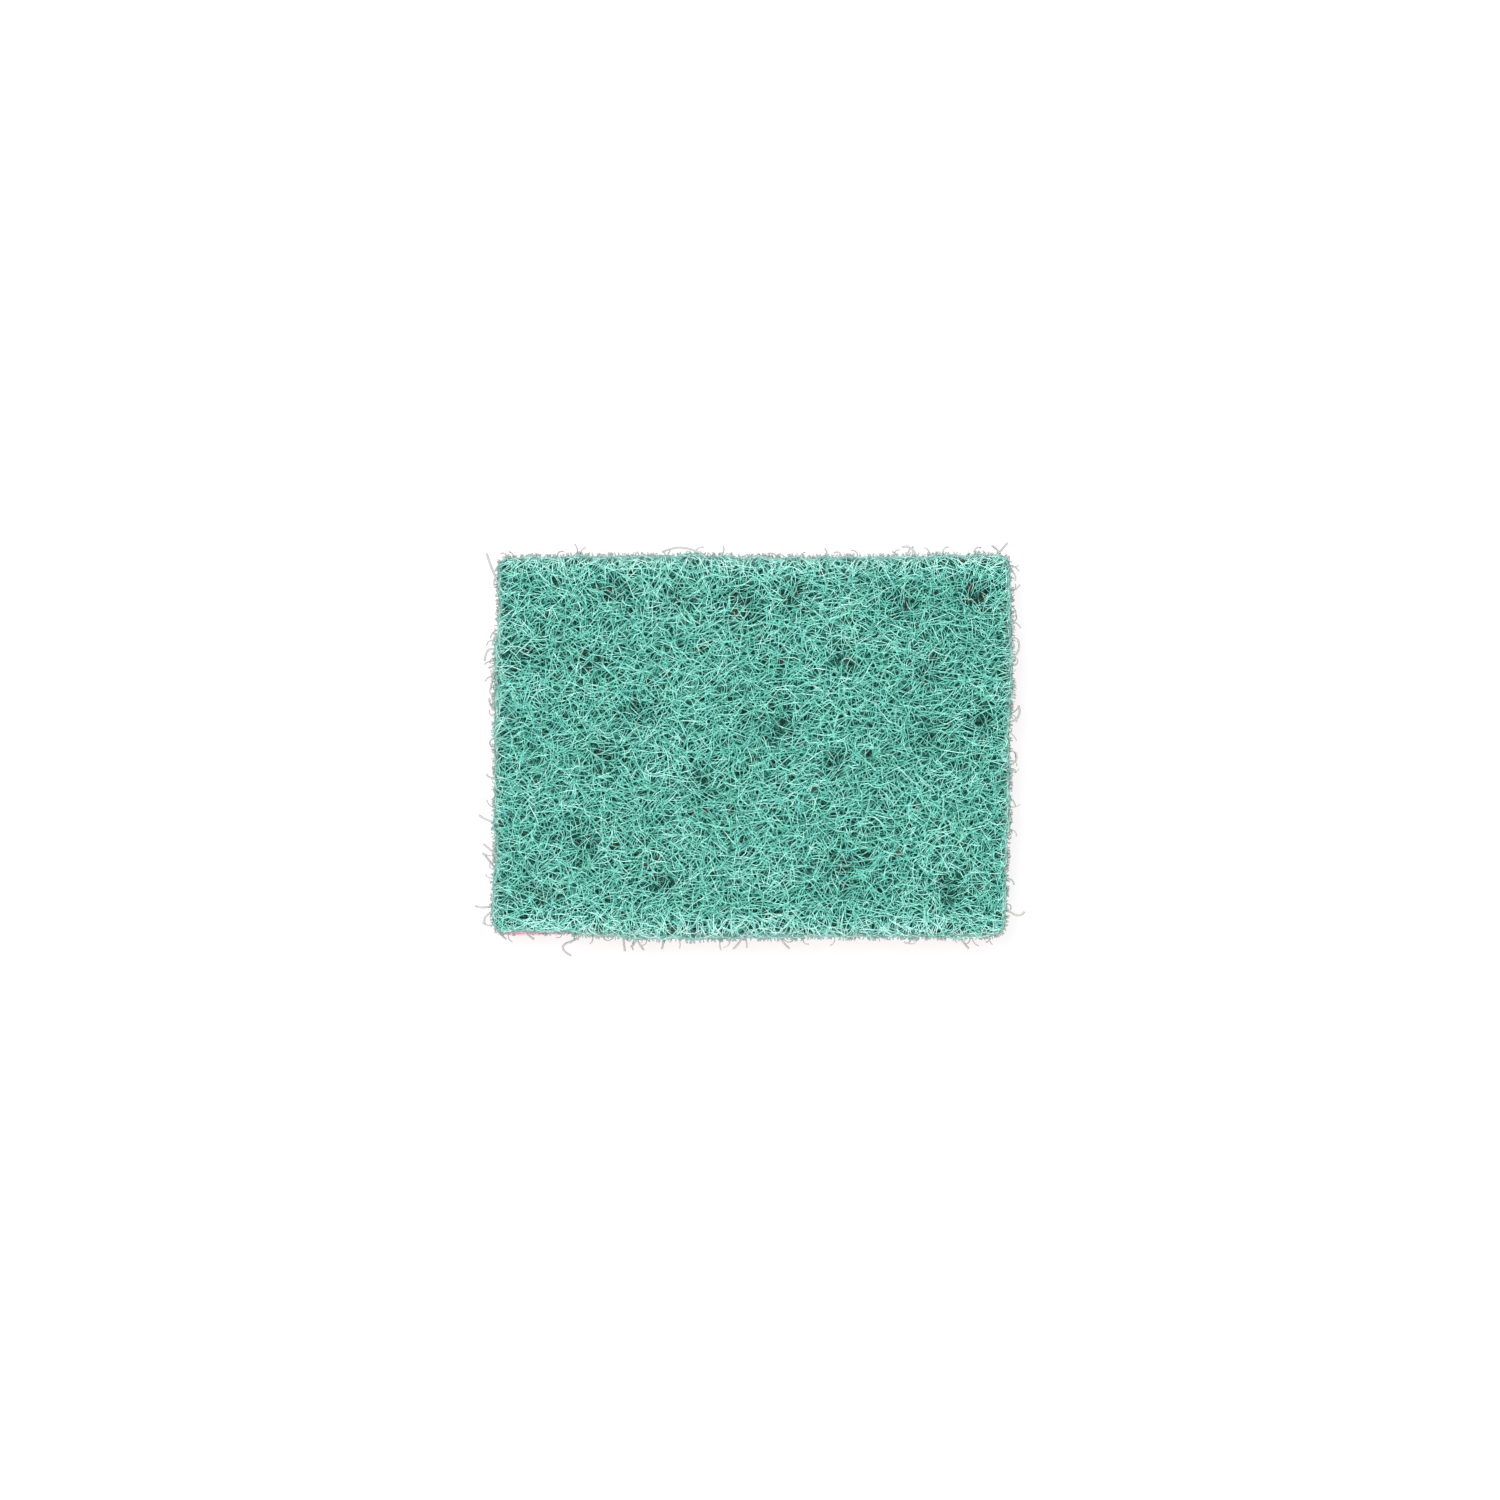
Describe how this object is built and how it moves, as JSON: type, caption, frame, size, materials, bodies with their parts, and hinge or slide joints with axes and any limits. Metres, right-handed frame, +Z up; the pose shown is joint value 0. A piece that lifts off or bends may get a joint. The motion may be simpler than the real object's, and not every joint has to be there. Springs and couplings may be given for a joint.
{
  "type": "dish sponge",
  "caption": "Oblong dish sponge: a soft open-celled foam brick with a matted non-woven scouring pad bonded flat to its upper face.",
  "frame": {"origin": "middle of the foam brick's flat underside, the face that the sponge rests on", "axes": "+X along the length, +Y across the width towards the edge that is at the top of the picture, +Z up through the scouring pad"},
  "size_m": [0.1008, 0.0744, 0.031],
  "materials": {
    "foam": "matte",
    "scourer": "matte"
  },
  "bodies": {
    "root": {"foam_brick": "foam", "scouring_pad": "scourer"}
  },
  "joints": []
}
